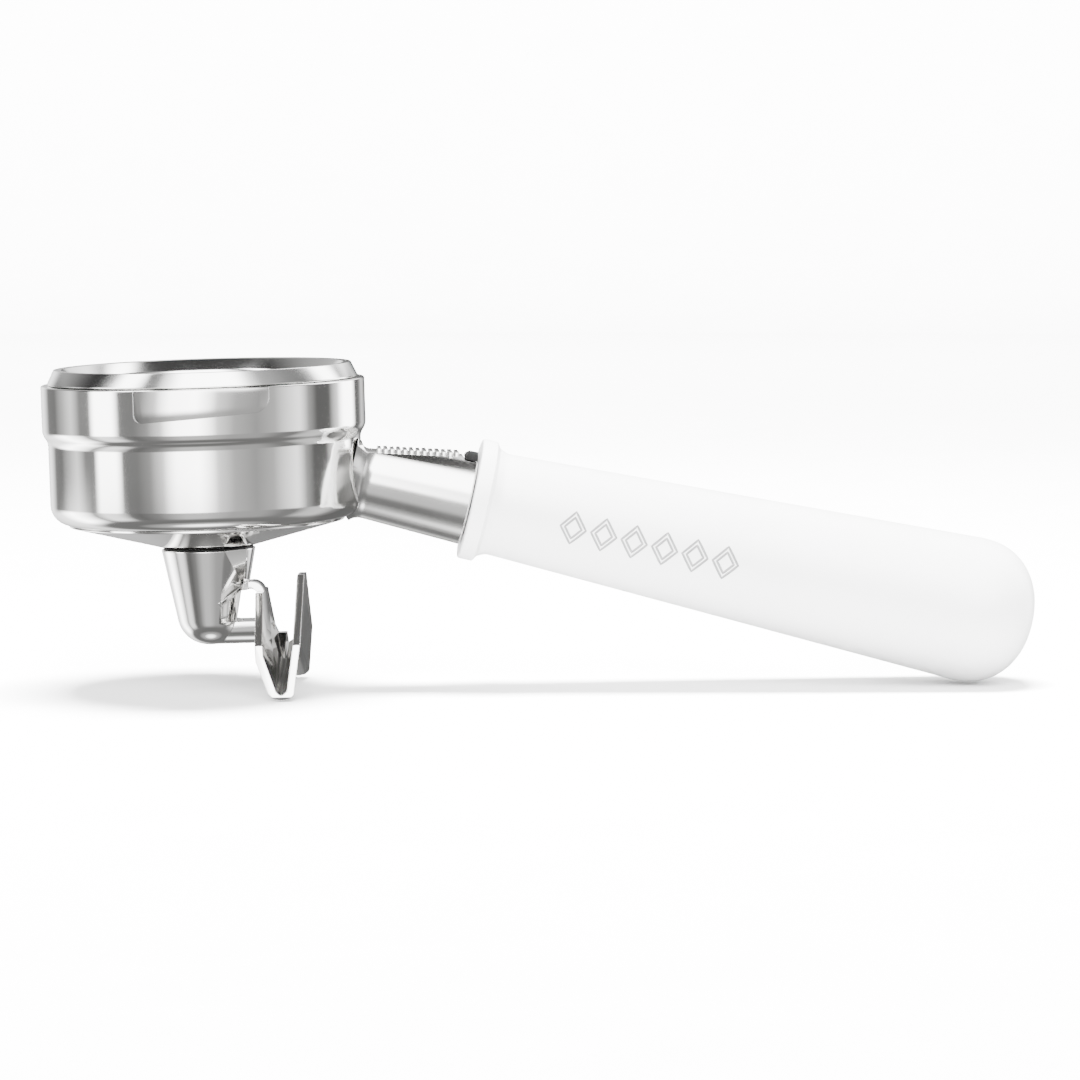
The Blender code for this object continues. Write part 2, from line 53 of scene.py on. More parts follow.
# Bowl, in millimetres. Heights in pairs run downwards.
BODY_R = 36.34
BODY_LOW_R = 35.1
BODY_STEP = (-10.9, -12.7)
STEP_R = 3.4
BODY_FOOT = -31.3
FOOT_R = 4.4
BORE_R = 30.6
SPRING_GROOVE = (-4.9, -7.1)
SPRING_GROOVE_R = 32.3
LEDGE = (-23.6, -25.3)
LEDGE_R = 27.6
BODY_THREAD_R = 29.9
STUD_HOLE_R = 6.3
BODY_WALL_START = 33.2
TOP_FACE_R = 31.6
LUG_R = 39.9
LUG_HALF_ANGLE = math.radians(21.7)
LUG_DEEP = 7.1
LUG_SHALLOW = 5.2
LUG_DEEP_R = 1.9
LUG_SHALLOW_R = 3.3

# Basket.
RIM_R = 35.0
RIM_TOP = 3.49
RIM_CREST_R = 33.37
RIM_INNER_R = 31.6
SEAT_GAP = 0.08
BASKET_R = 30.1
BASKET_FOOT = -21.9
BASKET_WALL = 0.9
BASKET_BEND = -17.0
HOLE_R = 0.42
HOLE_SIDES = 10
HOLE_PITCH = 1.9
HOLES_REACH = 25.0

# Funnel base.
BASE_RIM_R = 31.0
BASE_RIM_FOOT = -31.85
BASE_TOP = -27.5
PLUG_R = 29.6
CONE_END_R = 10.2
CONE_END = -37.38
NIPPLE_R = 8.1
NIPPLE_FOOT = -44.4
NIPPLE_CORE = NIPPLE_R - 0.5
FUNNEL_BORE_R = 5.6
SPOUT_PITCH = 1.337

# Spout.
CUP_TOP = -37.80
CUP_R = 10.6
CUP_TAPER = 0.1975
CUP_FOOT = -59.6
CUP_FOOT_R = 7.0
CUP_WALL = 1.6
WINDOW_X = 3.05
WINDOW_FOOT = -54.2
FACET_TURN = -49.4
DRAIN_R = 8.4
CHANNEL_R = 4.4
CHANNEL_TOP = -54.3
TONGUE_HALF = 3.4
BLADE_APEX = -44.1
BLADE_CORNER = (19.0, -58.3)
BLADE_TIP = (23.7, -69.3)
TROUGH_FALL = 0.4

# Neck and handle, measured along their axis. The saddle is the end that fits the bowl's wall.
NECK_END = 61.0
NECK_END_R = 10.75
NECK_ROOT = 37.6
NECK_ROOT_R = 9.73
SADDLE_GAP = 0.03
COLLAR_START = 61.3
COLLAR_END = 64.6
COLLAR_R = 13.8
GRIP_START = 68.4
GRIP_START_R = 11.75
GRIP_TAPER = 0.044
GRIP_END = 192.7
STUD_R = 5.0
STUD_PITCH = 1.75
STUD_START = 45
STUD_END = 85
INSERT_R = 7.3
INSERT_END = 87
RIB_FIRST = 39.2
RIB_STEP = 1.45
RIB_COUNT = 13
RIB_RISE = 0.85
RIB_SINK = 0.4
RIB_HALF_WIDTHS = (5.2, 6.2)

# The neck's flat in the head frame: where it starts, and how far it falls for each millimetre outwards.
FLAT_START = (36.6, -16.9)
FLAT_FALL = 0.0845

# The row of grooved lozenges on the handle.
MARK_FIRST = 84.6
MARK_STEP = 7.0
MARK_COUNT = 6
MARK_ANGLE = math.radians(-3.6)
MARK_HEIGHT = 7.4
MARK_WIDTH = 5.8
GROOVE_R = 0.30

# A face belongs to a groove, and gets the grooves' painted shade, when its deepest corner is between these
# depths.
GROOVE_LEAST = 0.16
GROOVE_MOST = 0.8

# Half the angle at a corner from which its two sides count as one straight line.
STRAIGHT = math.radians(89.9)

# Rounding takes this share of a side at most: less where the corner at its other end is rounded too.
SHARED_SIDE = 0.48
WHOLE_SIDE = 0.98

# Where the camera stands, in millimetres, and how it looks, in degrees.
CAMERA_PLACE = (-63.84, -1008.11, 120.92)
CAMERA_DOWN = 4.96
CAMERA_TURN = -3.6
CAMERA_LENS = 149.08
SENSOR = 36

# The set, in metres.
FLOOR_R = 2.0
COVE_R = 0.6
WALL_TOP = 3.0
FLOOR_LEVEL = -0.0002


# ---------------------------------------------------------------- shapes


def rounded(corners, points=8):
    """The outline with each corner (x, z, radius) rounded; a corner given as (x, z) stays sharp."""
    found = []
    count = len(corners)
    for index, corner in enumerate(corners):
        here = Vector(corner[:2])
        radius = corner[2] if len(corner) > 2 else 0
        if not radius or index in (0, count - 1):
            found.append(here)
            continue
        back = Vector(corners[index - 1][:2]) - here
        ahead = Vector(corners[index + 1][:2]) - here
        half = back.angle(ahead) / 2
        if half > STRAIGHT:
            found.append(here)
            continue
        others = (corners[index - 1], corners[index + 1])
        shares = [SHARED_SIDE if len(other) > 2 else WHOLE_SIDE for other in others]
        reach = min(radius / math.tan(half), shares[0] * back.length, shares[1] * ahead.length)
        radius = reach * math.tan(half)
        middle = here + (back.normalized() + ahead.normalized()).normalized() * radius / math.sin(half)
        first = here + back.normalized() * reach - middle
        last = here + ahead.normalized() * reach - middle
        sweep = first.angle(last)
        for step in range(points + 1):
            part = step / points
            point = first * math.sin((1 - part) * sweep) + last * math.sin(part * sweep)
            found.append(middle + point / math.sin(sweep))
    return found


def smoothed(points, parts=6):
    """A smooth line through the points, with the same ends."""
    line = [Vector(point) for point in points]
    line = [2 * line[0] - line[1], *line, 2 * line[-1] - line[-2]]
    found = []
    for index in range(1, len(line) - 2):
        before, start, end, after = line[index - 1 : index + 3]
        for step in range(parts):
            t = step / parts
            bend = (end - before) * t + (2 * before - 5 * start + 4 * end - after) * t**2
            bend += (3 * start - before - 3 * end + after) * t**3
            found.append(start + bend / 2)
    return [*found, line[-2]]


def new_object(name, mesh):
    """A new object in the scene with this mesh or curve."""
    thing = bpy.data.objects.new(name, mesh)
    bpy.context.scene.collection.objects.link(thing)
    return thing


def built(name, work):
    """An object from the mesh under construction, which is used up."""
    mesh = bpy.data.meshes.new(name)
    work.to_mesh(mesh)
    work.free()
    return new_object(name, mesh)


def evaluated(thing):
    """Replaces the object's mesh by what its modifiers make of it."""
    bpy.context.view_layer.update()
    graph = bpy.context.evaluated_depsgraph_get()
    mesh = bpy.data.meshes.new_from_object(thing.evaluated_get(graph))
    name = thing.name
    bpy.data.objects.remove(thing, do_unlink=True)
    return new_object(name, mesh)


def turned(name, outline, steps=192):
    """A turned solid from an outline in millimetres that runs down the outer side."""
    points = [Vector(point) for point in outline]
    edges = [(index, index + 1) for index in range(len(points) - 1)]
    mesh = bpy.data.meshes.new(name)
    mesh.from_pydata([(point.x * MM, 0, point.y * MM) for point in points], edges, [])
    thing = new_object(name, mesh)
    screw = thing.modifiers.new("spin", "SCREW")
    screw.steps = steps
    screw.render_steps = steps
    screw.use_merge_vertices = True
    screw.merge_threshold = 0.001 * MM
    return evaluated(thing)


def prism(name, outline, low, high, plane="XZ", fall=0.0):
    """An outline in millimetres pushed out from low to high along the third axis, falling as it goes."""
    work = bmesh.new()
    points = [Vector(point) for point in outline]
    rings = []
    for depth in (low, high):
        ring = []
        for point in points:
            u, v = point.x, point.y
            spot = {"XY": (u, v, depth), "XZ": (u, depth, v), "YZ": (depth, u, v)}[plane]
            spot = Vector(spot)
            spot.z -= fall * abs(spot.y) if plane == "XZ" else 0
            ring.append(work.verts.new(spot * MM))
        rings.append(ring)
    for ring in rings:
        work.faces.new(ring)
    for index in range(len(points)):
        after = (index + 1) % len(points)
        work.faces.new((rings[0][index], rings[0][after], rings[1][after], rings[1][index]))
    bmesh.ops.recalc_face_normals(work, faces=work.faces)
    return built(name, work)


def half_space(name, point, normal, size=40.0):
    """A block whose one face passes through the point; it fills the side that the normal looks at."""
    normal = Vector(normal).normalized()
    turn = Vector((0, 0, 1)).rotation_difference(normal).to_matrix().to_4x4()
    place = Matrix.Translation((Vector(point) + normal * size / 2) * MM) @ turn @ Matrix.Scale(size * MM, 4)
    work = bmesh.new()
    bmesh.ops.create_cube(work, size=1.0, matrix=place)
    return built(name, work)


def combine(target, other, operation, solver="EXACT"):
    """The Boolean of two objects, which are both used up."""
    modifier = target.modifiers.new(operation, "BOOLEAN")
    modifier.operation = operation
    modifier.object = other
    modifier.solver = solver
    result = evaluated(target)
    bpy.data.objects.remove(other, do_unlink=True)
    return result


def bevelled(thing, width, angle=35, segments=3):
    """The object with its edges sharper than the angle bevelled by the width in millimetres."""
    bevel = thing.modifiers.new("edges", "BEVEL")
    bevel.width = width * MM
    bevel.segments = segments
    bevel.limit_method = "ANGLE"
    bevel.angle_limit = math.radians(angle)
    bevel.use_clamp_overlap = True
    return evaluated(thing)


def joined(name, things):
    """One object out of several."""
    work = bmesh.new()
    for thing in things:
        mesh = thing.data
        mesh.transform(thing.matrix_world)
        work.from_mesh(mesh)
        bpy.data.objects.remove(thing, do_unlink=True)
    return built(name, work)


def thread(name, core, crest, pitch, start, turns):
    """The ridge of a screw thread along Z; its profile's heights are shares of the pitch."""
    outline = [(core - 0.1, 0.1), (crest, 0.42), (crest, 0.55), (core - 0.1, 0.88)]
    mesh = bpy.data.meshes.new(name)
    points = [(x * MM, 0, (start + z * pitch) * MM) for x, z in outline]
    mesh.from_pydata(points, [(0, 1), (1, 2), (2, 3)], [])
    thing = new_object(name, mesh)
    screw = thing.modifiers.new("helix", "SCREW")
    screw.steps = 40
    screw.render_steps = 40
    screw.screw_offset = pitch * MM
    screw.iterations = turns
    screw.use_merge_vertices = False
    return evaluated(thing)


def finish_piece(thing, place, material, body, nodes=(), sharp=30):
    """Puts a finished piece in its frame, shades it, and ties it to the CAD."""
    mesh = thing.data
    mesh.shade_smooth()
    mesh.set_sharp_from_angle(angle=math.radians(sharp))
    mesh.materials.clear()
    mesh.materials.append(material)
    thing.matrix_world = place
    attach(thing, body)
    if nodes:
        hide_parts(*nodes)
    return thing


# ---------------------------------------------------------------- materials


class Nodes:
    """A small helper that writes a material's node tree."""

    def __init__(self, name):
        self.material = bpy.data.materials.new(name)
        self.material.use_nodes = True
        self.tree = self.material.node_tree
        self.shader = self.tree.nodes["Principled BSDF"]
        self.space = self.tree.nodes.new("ShaderNodeTexCoord").outputs["Object"]

    def link(self, source, target):
        self.tree.links.new(source, target)

    def mapped(self, scale):
        """The object's coordinates, scaled along each axis."""
        node = self.tree.nodes.new("ShaderNodeMapping")
        node.inputs["Scale"].default_value = scale
        self.link(self.space, node.inputs["Vector"])
        return node.outputs["Vector"]

    def noise(self, scale, stretch=(1, 1, 1), detail=4.0, distortion=0.0):
        """A noise pattern, stretched along the axes whose number is low."""
        node = self.tree.nodes.new("ShaderNodeTexNoise")
        node.inputs["Scale"].default_value = scale
        node.inputs["Detail"].default_value = detail
        node.inputs["Distortion"].default_value = distortion
        self.link(self.mapped(stretch), node.inputs["Vector"])
        return node.outputs["Fac"]

    def ranged(self, source, low, high, start=0.3, end=0.7):
        """The source spread from low to high."""
        node = self.tree.nodes.new("ShaderNodeMapRange")
        node.inputs["From Min"].default_value = start
        node.inputs["From Max"].default_value = end
        node.inputs["To Min"].default_value = low
        node.inputs["To Max"].default_value = high
        self.link(source, node.inputs["Value"])
        return node.outputs["Result"]

    def added(self, first, second):
        """The sum of two values."""
        node = self.tree.nodes.new("ShaderNodeMath")
        node.operation = "ADD"
        self.link(first, node.inputs[0])
        self.link(second, node.inputs[1])
        return node.outputs["Value"]

    def mixed(self, factor, first, second):
        """A colour between two."""
        node = self.tree.nodes.new("ShaderNodeMix")
        node.data_type = "RGBA"
        self.link(factor, node.inputs["Factor"])
        node.inputs["A"].default_value = (*first, 1)
        node.inputs["B"].default_value = (*second, 1)
        return node.outputs["Result"]

    def softened(self, width):
        """A normal that rounds the edges over the width in millimetres."""
        node = self.tree.nodes.new("ShaderNodeBevel")
        node.samples = 6
        node.inputs["Radius"].default_value = width * MM
        return node.outputs["Normal"]

    def bump(self, source, strength, distance, below=None):
        """A normal roughened by the source, on top of the one below."""
        node = self.tree.nodes.new("ShaderNodeBump")
        node.inputs["Strength"].default_value = strength
        node.inputs["Distance"].default_value = distance
        self.link(source, node.inputs["Height"])
        if below:
            self.link(below, node.inputs["Normal"])
        return node.outputs["Normal"]


def metal(name, colour, tint, smooth, rough, turning=0.0, grain=0.05, edge=0.0):
    """A metal with polishing haze, faint scratches and, if turned, fine rings about its Z axis.

    The edge is the width in millimetres over which polishing has softened the piece's edges.
    """
    nodes = Nodes(name)
    shader = nodes.shader
    shader.inputs["Metallic"].default_value = 1.0
    haze = nodes.noise(60, detail=6)
    nodes.link(nodes.mixed(nodes.ranged(haze, 0, 1), colour, tint), shader.inputs["Base Color"])
    scratches = nodes.noise(260, (1, 1, 9), detail=5, distortion=0.4)
    roughness = nodes.added(nodes.ranged(haze, smooth, rough), nodes.ranged(scratches, -0.008, 0.012))
    nodes.link(roughness, shader.inputs["Roughness"])
    base = nodes.softened(edge) if edge else None
    normal = nodes.bump(nodes.noise(1800, detail=3), grain, 0.004 * MM, base)
    normal = nodes.bump(scratches, grain, 0.006 * MM, normal)
    if turning:
        rings = nodes.noise(900, (0.004, 0.004, 1), detail=3)
        normal = nodes.bump(rings, turning, 0.01 * MM, normal)
    nodes.link(normal, shader.inputs["Normal"])
    return nodes.material


def moulded(name, colour, tint, smooth, rough, texture=0.15, coat=0.0, scale=500, gloss=0.5):
    """A moulded plastic or rubber with a fine skin texture and faint marks."""
    nodes = Nodes(name)
    shader = nodes.shader
    shader.inputs["Specular IOR Level"].default_value = gloss
    shader.inputs["Coat Weight"].default_value = coat
    shader.inputs["Coat Roughness"].default_value = 0.2
    clouds = nodes.noise(35, detail=5)
    nodes.link(nodes.mixed(nodes.ranged(clouds, 0, 1), colour, tint), shader.inputs["Base Color"])
    marks = nodes.noise(220, (1, 1, 3), detail=6)
    roughness = nodes.added(nodes.ranged(clouds, smooth, rough), nodes.ranged(marks, -0.03, 0.03))
    nodes.link(roughness, shader.inputs["Roughness"])
    normal = nodes.bump(nodes.noise(scale, detail=4), texture, 0.03 * MM)
    normal = nodes.bump(marks, texture, 0.02 * MM, normal)
    nodes.link(normal, shader.inputs["Normal"])
    return nodes.material


# ---------------------------------------------------------------- bowl


def make_lug(name, turn):
    """A bayonet lug with its ramp, rounded at both ends and along its edges."""
    half = LUG_R * math.sin(LUG_HALF_ANGLE)
    top = -0.03
    ramp = [(half, -LUG_SHALLOW, LUG_SHALLOW_R), (-half, -LUG_DEEP - 0.1, LUG_DEEP_R)]
    corners = [(-2.0, top), (half, top), *ramp, (-half, top)]
    lug = prism(name, rounded(corners), -44, -32)
    drum = turned(name + "_face", [(0, 2), (LUG_R, 2), (LUG_R, -12), (0, -12)], steps=256)
    lug = bevelled(combine(lug, drum, "INTERSECT"), 0.35, angle=40)
    lug.data.transform(Matrix.Rotation(turn, 4, "Z"))
    return lug


def make_body(material):
    """The bowl with its step, foot, bore, spring groove and ledge, and its two lugs."""
    corners = [
        (TOP_FACE_R, 0),
        (BODY_R, 0, 0.35),
        (BODY_R, BODY_STEP[0], STEP_R),
        (BODY_LOW_R, BODY_STEP[1], STEP_R),
        (BODY_LOW_R, BODY_FOOT, FOOT_R),
        (BODY_THREAD_R, BODY_FOOT),
        (BODY_THREAD_R, LEDGE[1]),
        (LEDGE_R, LEDGE[1]),
        (LEDGE_R, LEDGE[0], 0.3),
        (BORE_R, LEDGE[0] + 1.0, 0.3),
        (BORE_R, SPRING_GROOVE[1]),
        (SPRING_GROOVE_R, SPRING_GROOVE[1]),
        (SPRING_GROOVE_R, SPRING_GROOVE[0]),
        (BORE_R, SPRING_GROOVE[0]),
        (BORE_R, 0, 0.5),
        (TOP_FACE_R, 0),
    ]
    bowl = turned("bowl_wall", rounded(corners), steps=256)
    outline = [(0, 40), (STUD_HOLE_R, 40), (STUD_HOLE_R, BODY_WALL_START), (0, BODY_WALL_START)]
    socket = turned("socket", outline, steps=48)
    socket.data.transform(HEAD.inverted() @ HANDLE)
    bowl = combine(bowl, socket, "DIFFERENCE")
    things = [bowl, make_lug("lug_near", 0.0), make_lug("lug_far", math.pi)]
    finish_piece(joined("bowl", things), HEAD, material, "head", ["body"])


def make_basket(material):
    """The pressed basket with its rolled rim and perforated floor."""
    inner = BASKET_R - BASKET_WALL
    corners = [
        (0, BASKET_FOOT + BASKET_WALL),
        (inner - 1.2, BASKET_FOOT + BASKET_WALL, 2.0),
        (inner, BASKET_BEND, 0.5),
        (inner, 0.7, 1.6),
        (RIM_INNER_R, RIM_TOP - 0.1, 0.4),
        (RIM_CREST_R, RIM_TOP, 0.25),
        (RIM_R, SEAT_GAP + 0.02, 0.3),
        (BASKET_R, SEAT_GAP, 0.3),
        (BASKET_R, BASKET_BEND, 0.5),
        (BASKET_R - 1.2, BASKET_FOOT, 2.4),
        (0, BASKET_FOOT),
    ]
    basket = combine(turned("basket", rounded(corners)), make_holes(), "DIFFERENCE", "MANIFOLD")
    finish_piece(basket, HEAD, material, "basket", ["filter_basket"])


def make_holes():
    """Pins where the basket's floor is perforated, in staggered rows."""
    work = bmesh.new()
    rows = int(HOLES_REACH / (HOLE_PITCH * math.sqrt(3) / 2)) + 1
    for row in range(-rows, rows + 1):
        y = row * HOLE_PITCH * math.sqrt(3) / 2
        for column in range(-rows - 2, rows + 3):
            x = (column + (row % 2) / 2) * HOLE_PITCH
            if math.hypot(x, y) > HOLES_REACH:
                continue
            place = Matrix.Translation(Vector((x, y, BASKET_FOOT + BASKET_WALL / 2)) * MM)
            size = {"radius1": HOLE_R * MM, "radius2": HOLE_R * MM, "depth": 3 * MM}
            bmesh.ops.create_cone(work, cap_ends=True, segments=HOLE_SIDES, matrix=place, **size)
    return built("holes", work)


def make_base(material):
    """The funnel base that screws into the bowl's foot, with the threaded nipple for the spout."""
    corners = [
        (LEDGE_R, BASE_TOP),
        (PLUG_R, BASE_TOP, 0.2),
        (PLUG_R, BODY_FOOT - 0.05),
        (BASE_RIM_R, BODY_FOOT - 0.05, 0.08),
        (BASE_RIM_R, BASE_RIM_FOOT, 0.2),
        (CONE_END_R, CONE_END + 0.1, 0.12),
        (CONE_END_R - 0.2, CONE_END),
        (NIPPLE_CORE, CONE_END),
        (NIPPLE_CORE, NIPPLE_FOOT, 0.5),
        (FUNNEL_BORE_R, NIPPLE_FOOT, 0.3),
        (FUNNEL_BORE_R, CONE_END + 2.3, 2.0),
        (LEDGE_R, -30.2, 1.0),
        (LEDGE_R, BASE_TOP),
    ]
    base = turned("base_shell", rounded(corners), steps=256)
    ridge = thread("base_thread", NIPPLE_CORE, NIPPLE_R, SPOUT_PITCH, NIPPLE_FOOT + 0.6, 4)
    base = joined("funnel", [base, ridge])
    finish_piece(base, HEAD, material, "base", ["funnel_base"])


def make_spout_ring(material):
    """The black ring between the cone's end and the spout's cup."""
    top, foot = CONE_END - 0.03, CUP_TOP + 0.03
    corners = [(9.2, top), (10.1, top, 0.1), (10.1, foot, 0.1), (8.5, foot), (8.5, top), (9.2, top)]
    ring = turned("seal_ring", rounded(corners, 4))
    finish_piece(ring, HEAD, material, "spout_ring", ["spout_seal"])


# ---------------------------------------------------------------- spout


def cup_radius(z):
    """The radius of the tapered cup at a height."""
    return CUP_R - CUP_TAPER * (CUP_TOP - z)


def arc(centre, radius, start, end, points):
    """Points of an arc, angles in degrees from the first axis towards the second."""
    angles = [math.radians(start + (end - start) * index / (points - 1)) for index in range(points)]
    return [(centre[0] + radius * math.cos(a), centre[1] + radius * math.sin(a)) for a in angles]


def make_cup():
    """The tapered cup with its rounded bottom."""
    edge = cup_radius(CUP_FOOT)
    corners = [(0, CUP_TOP), (CUP_R, CUP_TOP, 0.15), (edge, CUP_FOOT, CUP_FOOT_R), (0, CUP_FOOT)]
    return turned("cup", rounded(corners, 16), steps=160)


def cut_facets(cup):
    """Flats that narrow the outlet side of the cup to a tongue, above the line of the bridge."""
    line = Vector((9.0 - WINDOW_X, 0, 4.1))
    for side in (-1, 1):
        high = Vector((8.9, side * 4.85, -40.4))
        low = Vector((WINDOW_X, side * 7.75, FACET_TURN))
        tongue = Vector((9.0, side * TONGUE_HALF, -45.3))
        normal = (low - high).cross(tongue - high)
        if normal.x < 0:
            normal = -normal
        facet = half_space("facet", high, normal, 30)
        above = half_space("above", (WINDOW_X, 0, FACET_TURN), (-line.z, 0, line.x), 40)
        cup = combine(cup, combine(facet, above, "INTERSECT"), "DIFFERENCE")
    return cup


def make_channel():
    """The round-bottomed channel from the cup to the blades."""
    middle = CUP_FOOT + CHANNEL_R
    section = [(-CHANNEL_R, CHANNEL_TOP), (-CHANNEL_R, middle)]
    section += arc((0, middle), CHANNEL_R, 188, 352, 20)
    section += [(CHANNEL_R, middle), (CHANNEL_R, CHANNEL_TOP)]
    return prism("channel", section, -0.3, 12.3, "YZ")


def make_bridge():
    """The arched strip from the cup's wall over to the first blade."""
    outline = [(2.6, -49.7), (7.4, -46.0)]
    outline += arc((9.7, -48.3), 2.9, 120, 12, 14)
    outline += [(12.5, -52), (11.0, -52)]
    outline += arc((9.5, -48.6), 1.6, 10, 118, 12)
    outline += [(7.6, -47.2), (3.2, -50.6)]
    strip = prism("bridge", outline, -12, 12)
    plan = [(2.0, -8.4), (9.0, -TONGUE_HALF), (30, -TONGUE_HALF)]
    plan += [(30, TONGUE_HALF), (9.0, TONGUE_HALF), (2.0, 8.4)]
    bridge = combine(strip, prism("bridge_plan", plan, -60, -40, "XY"), "INTERSECT")
    return bevelled(bridge, 0.22, angle=40, segments=4)


def make_blades():
    """Two upright blades that run down into a V trough, falling from the middle to both tips."""
    outer = [
        (10.6, -42.0),
        (11.6, -53.6),
        (14.4, -59.2),
        (15.7, -60.4, 1.2),
        (17.4, -60.8, 1.6),
        (19.0, -60.5, 1.2),
        (20.1, -59.5, 0.8),
        (21.5, -50.5),
        (21.85, -38.0),
    ]
    inner = [
        (20.2, -38.0),
        (19.8, -50.5),
        (18.5, -58.8, 0.8),
        (17.3, -59.6, 0.8),
        (16.2, -58.9, 0.8),
        (13.3, -52.6),
        (12.3, -42.0),
    ]
    outline = rounded(outer + inner, 5)
    near = prism("trough_near", outline, -26, 0, fall=TROUGH_FALL)
    blades = combine(near, prism("trough_far", outline, 0, 26, fall=TROUGH_FALL), "UNION")
    tip_y, tip_z = BLADE_TIP
    kite = [(TONGUE_HALF, BLADE_APEX), BLADE_CORNER, BLADE_TIP, (tip_y - 1.2, tip_z - 2.5)]
    kite += [(-y, z) for y, z in reversed(kite)]
    blades = combine(blades, prism("kite", kite, 4, 28, "YZ"), "INTERSECT")
    under = [(5, -47.6), (14, -47.6), (14, -38), (5, -38)]
    blades = combine(blades, prism("under_bridge", under, -20, 20), "DIFFERENCE")
    return bevelled(blades, 0.25, angle=40, segments=4)


def make_spout(material):
    """The double spout: cup, window, channel, bridge, blades and the divider's ridge, in one."""
    spout = cut_facets(make_cup())
    window = [(WINDOW_X, -50.3), (7.6, -47.0), (9.2, -46.7), (16, -46.7)]
    window += [(16, WINDOW_FOOT), (WINDOW_X, WINDOW_FOOT)]
    spout = combine(spout, prism("window", window, -14, 14), "DIFFERENCE")
    top, foot = -45.5, WINDOW_FOOT - 0.6
    liner = [
        (0, top),
        (cup_radius(top) - CUP_WALL, top),
        (cup_radius(WINDOW_FOOT) - CUP_WALL, foot),
        (0, foot),
    ]
    spout = combine(spout, turned("liner", liner, steps=128), "UNION")
    spout = combine(spout, make_channel(), "UNION")
    spout = combine(spout, make_bridge(), "UNION")
    spout = combine(spout, make_blades(), "UNION")
    ridge = [(-1.6, -57.25), (0, -57.1), (1.6, -57.25), (8.6, -63.2), (0, -61.0), (-8.6, -63.2)]
    spout = combine(spout, prism("ridge", ridge, 12.9, 17.1, "YZ"), "UNION")
    bore = [(0, CUP_TOP + 2), (DRAIN_R, CUP_TOP + 2), (DRAIN_R, -44.8)]
    bore += [(4.9, -46.3), (4.3, -56.0), (2.5, -58.0), (0, -58.0)]
    spout = combine(spout, turned("drain", bore, steps=96), "DIFFERENCE")
    slot = [(-2.9, -54.9), (-2.9, -56.6), (-1.3, -58.2), (1.3, -58.2), (2.9, -56.6), (2.9, -54.9)]
    spout = combine(spout, prism("way", slot, -0.5, 14.5, "YZ"), "DIFFERENCE")
    spout.name = "double_spout"
    finish_piece(spout, SPOUT, material, "spout_arm", ["spout"], sharp=20)


# ---------------------------------------------------------------- neck


def neck_radius(s):
    """The radius of the tapered neck at a distance along its axis."""
    return NECK_ROOT_R + (s - NECK_ROOT) * (NECK_END_R - NECK_ROOT_R) / (NECK_END - NECK_ROOT)


def make_neck(material):
    """The tapered neck, cut to the bowl's wall, clear of the base's way down, and with its flat."""
    hole = STUD_R + 0.3
    corners = [
        (0, 43.0),
        (hole, 44.5),
        (hole, NECK_END, 0.4),
        (NECK_END_R, NECK_END, 0.4),
        (neck_radius(NECK_ROOT - 0.6), NECK_ROOT - 0.6, 3.5),
        (12.6, 33.4),
        (0, 33.4),
    ]
    neck = turned("neck_cone", rounded(corners, 10), steps=160)
    saddle = [
        (0, 0.5),
        (BODY_R, 0.5),
        (BODY_R + SADDLE_GAP, BODY_STEP[0], STEP_R),
        (BODY_LOW_R + SADDLE_GAP, BODY_STEP[1], STEP_R),
        (BODY_LOW_R + SADDLE_GAP, BODY_FOOT - SADDLE_GAP, FOOT_R + SADDLE_GAP),
        (0, BODY_FOOT - SADDLE_GAP),
    ]
    clear = BASE_RIM_R + 0.7
    way_down = [(0, -29), (clear, -29), (clear, -45), (0, -45)]
    for outline in (rounded(saddle), way_down):
        core = turned("saddle", outline, steps=256)
        core.data.transform(HEAD_TO_HANDLE)
        neck = combine(neck, core, "DIFFERENCE")
    wall = BODY_LOW_R + 0.3
    flat = [(wall - 1, -6), (wall - 1, -15.1), (wall + 0.05, -15.1)]
    flat += arc((wall + 1.85, -15.15), 1.8, 185, 262, 12)
    flat += [(58.0, -18.75), (58.1, -19.45), (64, -21.0), (64, -6)]
    cutter = prism("flat", flat, -12, 12)
    cutter.data.transform(HEAD_TO_HANDLE)
    neck = bevelled(combine(neck, cutter, "DIFFERENCE"), 0.18, angle=32, segments=2)
    things = [neck, *make_ribs()]
    finish_piece(joined("neck_tube", things), HANDLE, material, "head", ["neck"])


def make_ribs():
    """Plain cross ribs on the neck's flat."""
    ribs = []
    for index in range(RIB_COUNT):
        x = RIB_FIRST + index * RIB_STEP
        floor = FLAT_START[1] - (x - FLAT_START[0]) * FLAT_FALL
        low, high = floor - RIB_SINK, floor + RIB_RISE
        half = RIB_HALF_WIDTHS[index % 2]
        corners = [(x - 0.48, low), (x - 0.42, high), (x + 0.42, high), (x + 0.48, low)]
        rib = bevelled(prism("rib", corners, -half, half), 0.1, angle=40)
        rib.data.transform(HEAD_TO_HANDLE)
        ribs.append(rib)
    return ribs


def make_block(material):
    """The block that fills the end of the flat, against the handle."""
    radius = neck_radius(58) - 0.1
    block = turned("block", [(0, 60.8), (radius, 60.8), (radius, 55), (0, 55)], steps=160)
    keep = [(58.5, -19.25), (58.6, -18.6), (60.0, -17.4), (64, -10), (66, -10), (66, -21.2)]
    cutter = prism("block_outline", keep, -12, 12)
    cutter.data.transform(HEAD_TO_HANDLE)
    block = bevelled(combine(block, cutter, "INTERSECT"), 0.25, angle=30)
    finish_piece(block, HANDLE, material, "head", ["stop_block"])


def make_stud(material):
    """The threaded stud that the handle screws onto."""
    core = STUD_R - 0.75
    corners = [(0, STUD_END), (core, STUD_END, 0.6), (core, STUD_START), (0, STUD_START)]
    bar = turned("stud_core", rounded(corners), steps=96)
    ridge = thread("stud_thread", core, STUD_R, STUD_PITCH, 58.0, 15)
    stud = joined("threaded_stud", [bar, ridge])
    finish_piece(stud, HANDLE, material, "head", ["handle_stud"])


# ---------------------------------------------------------------- handle


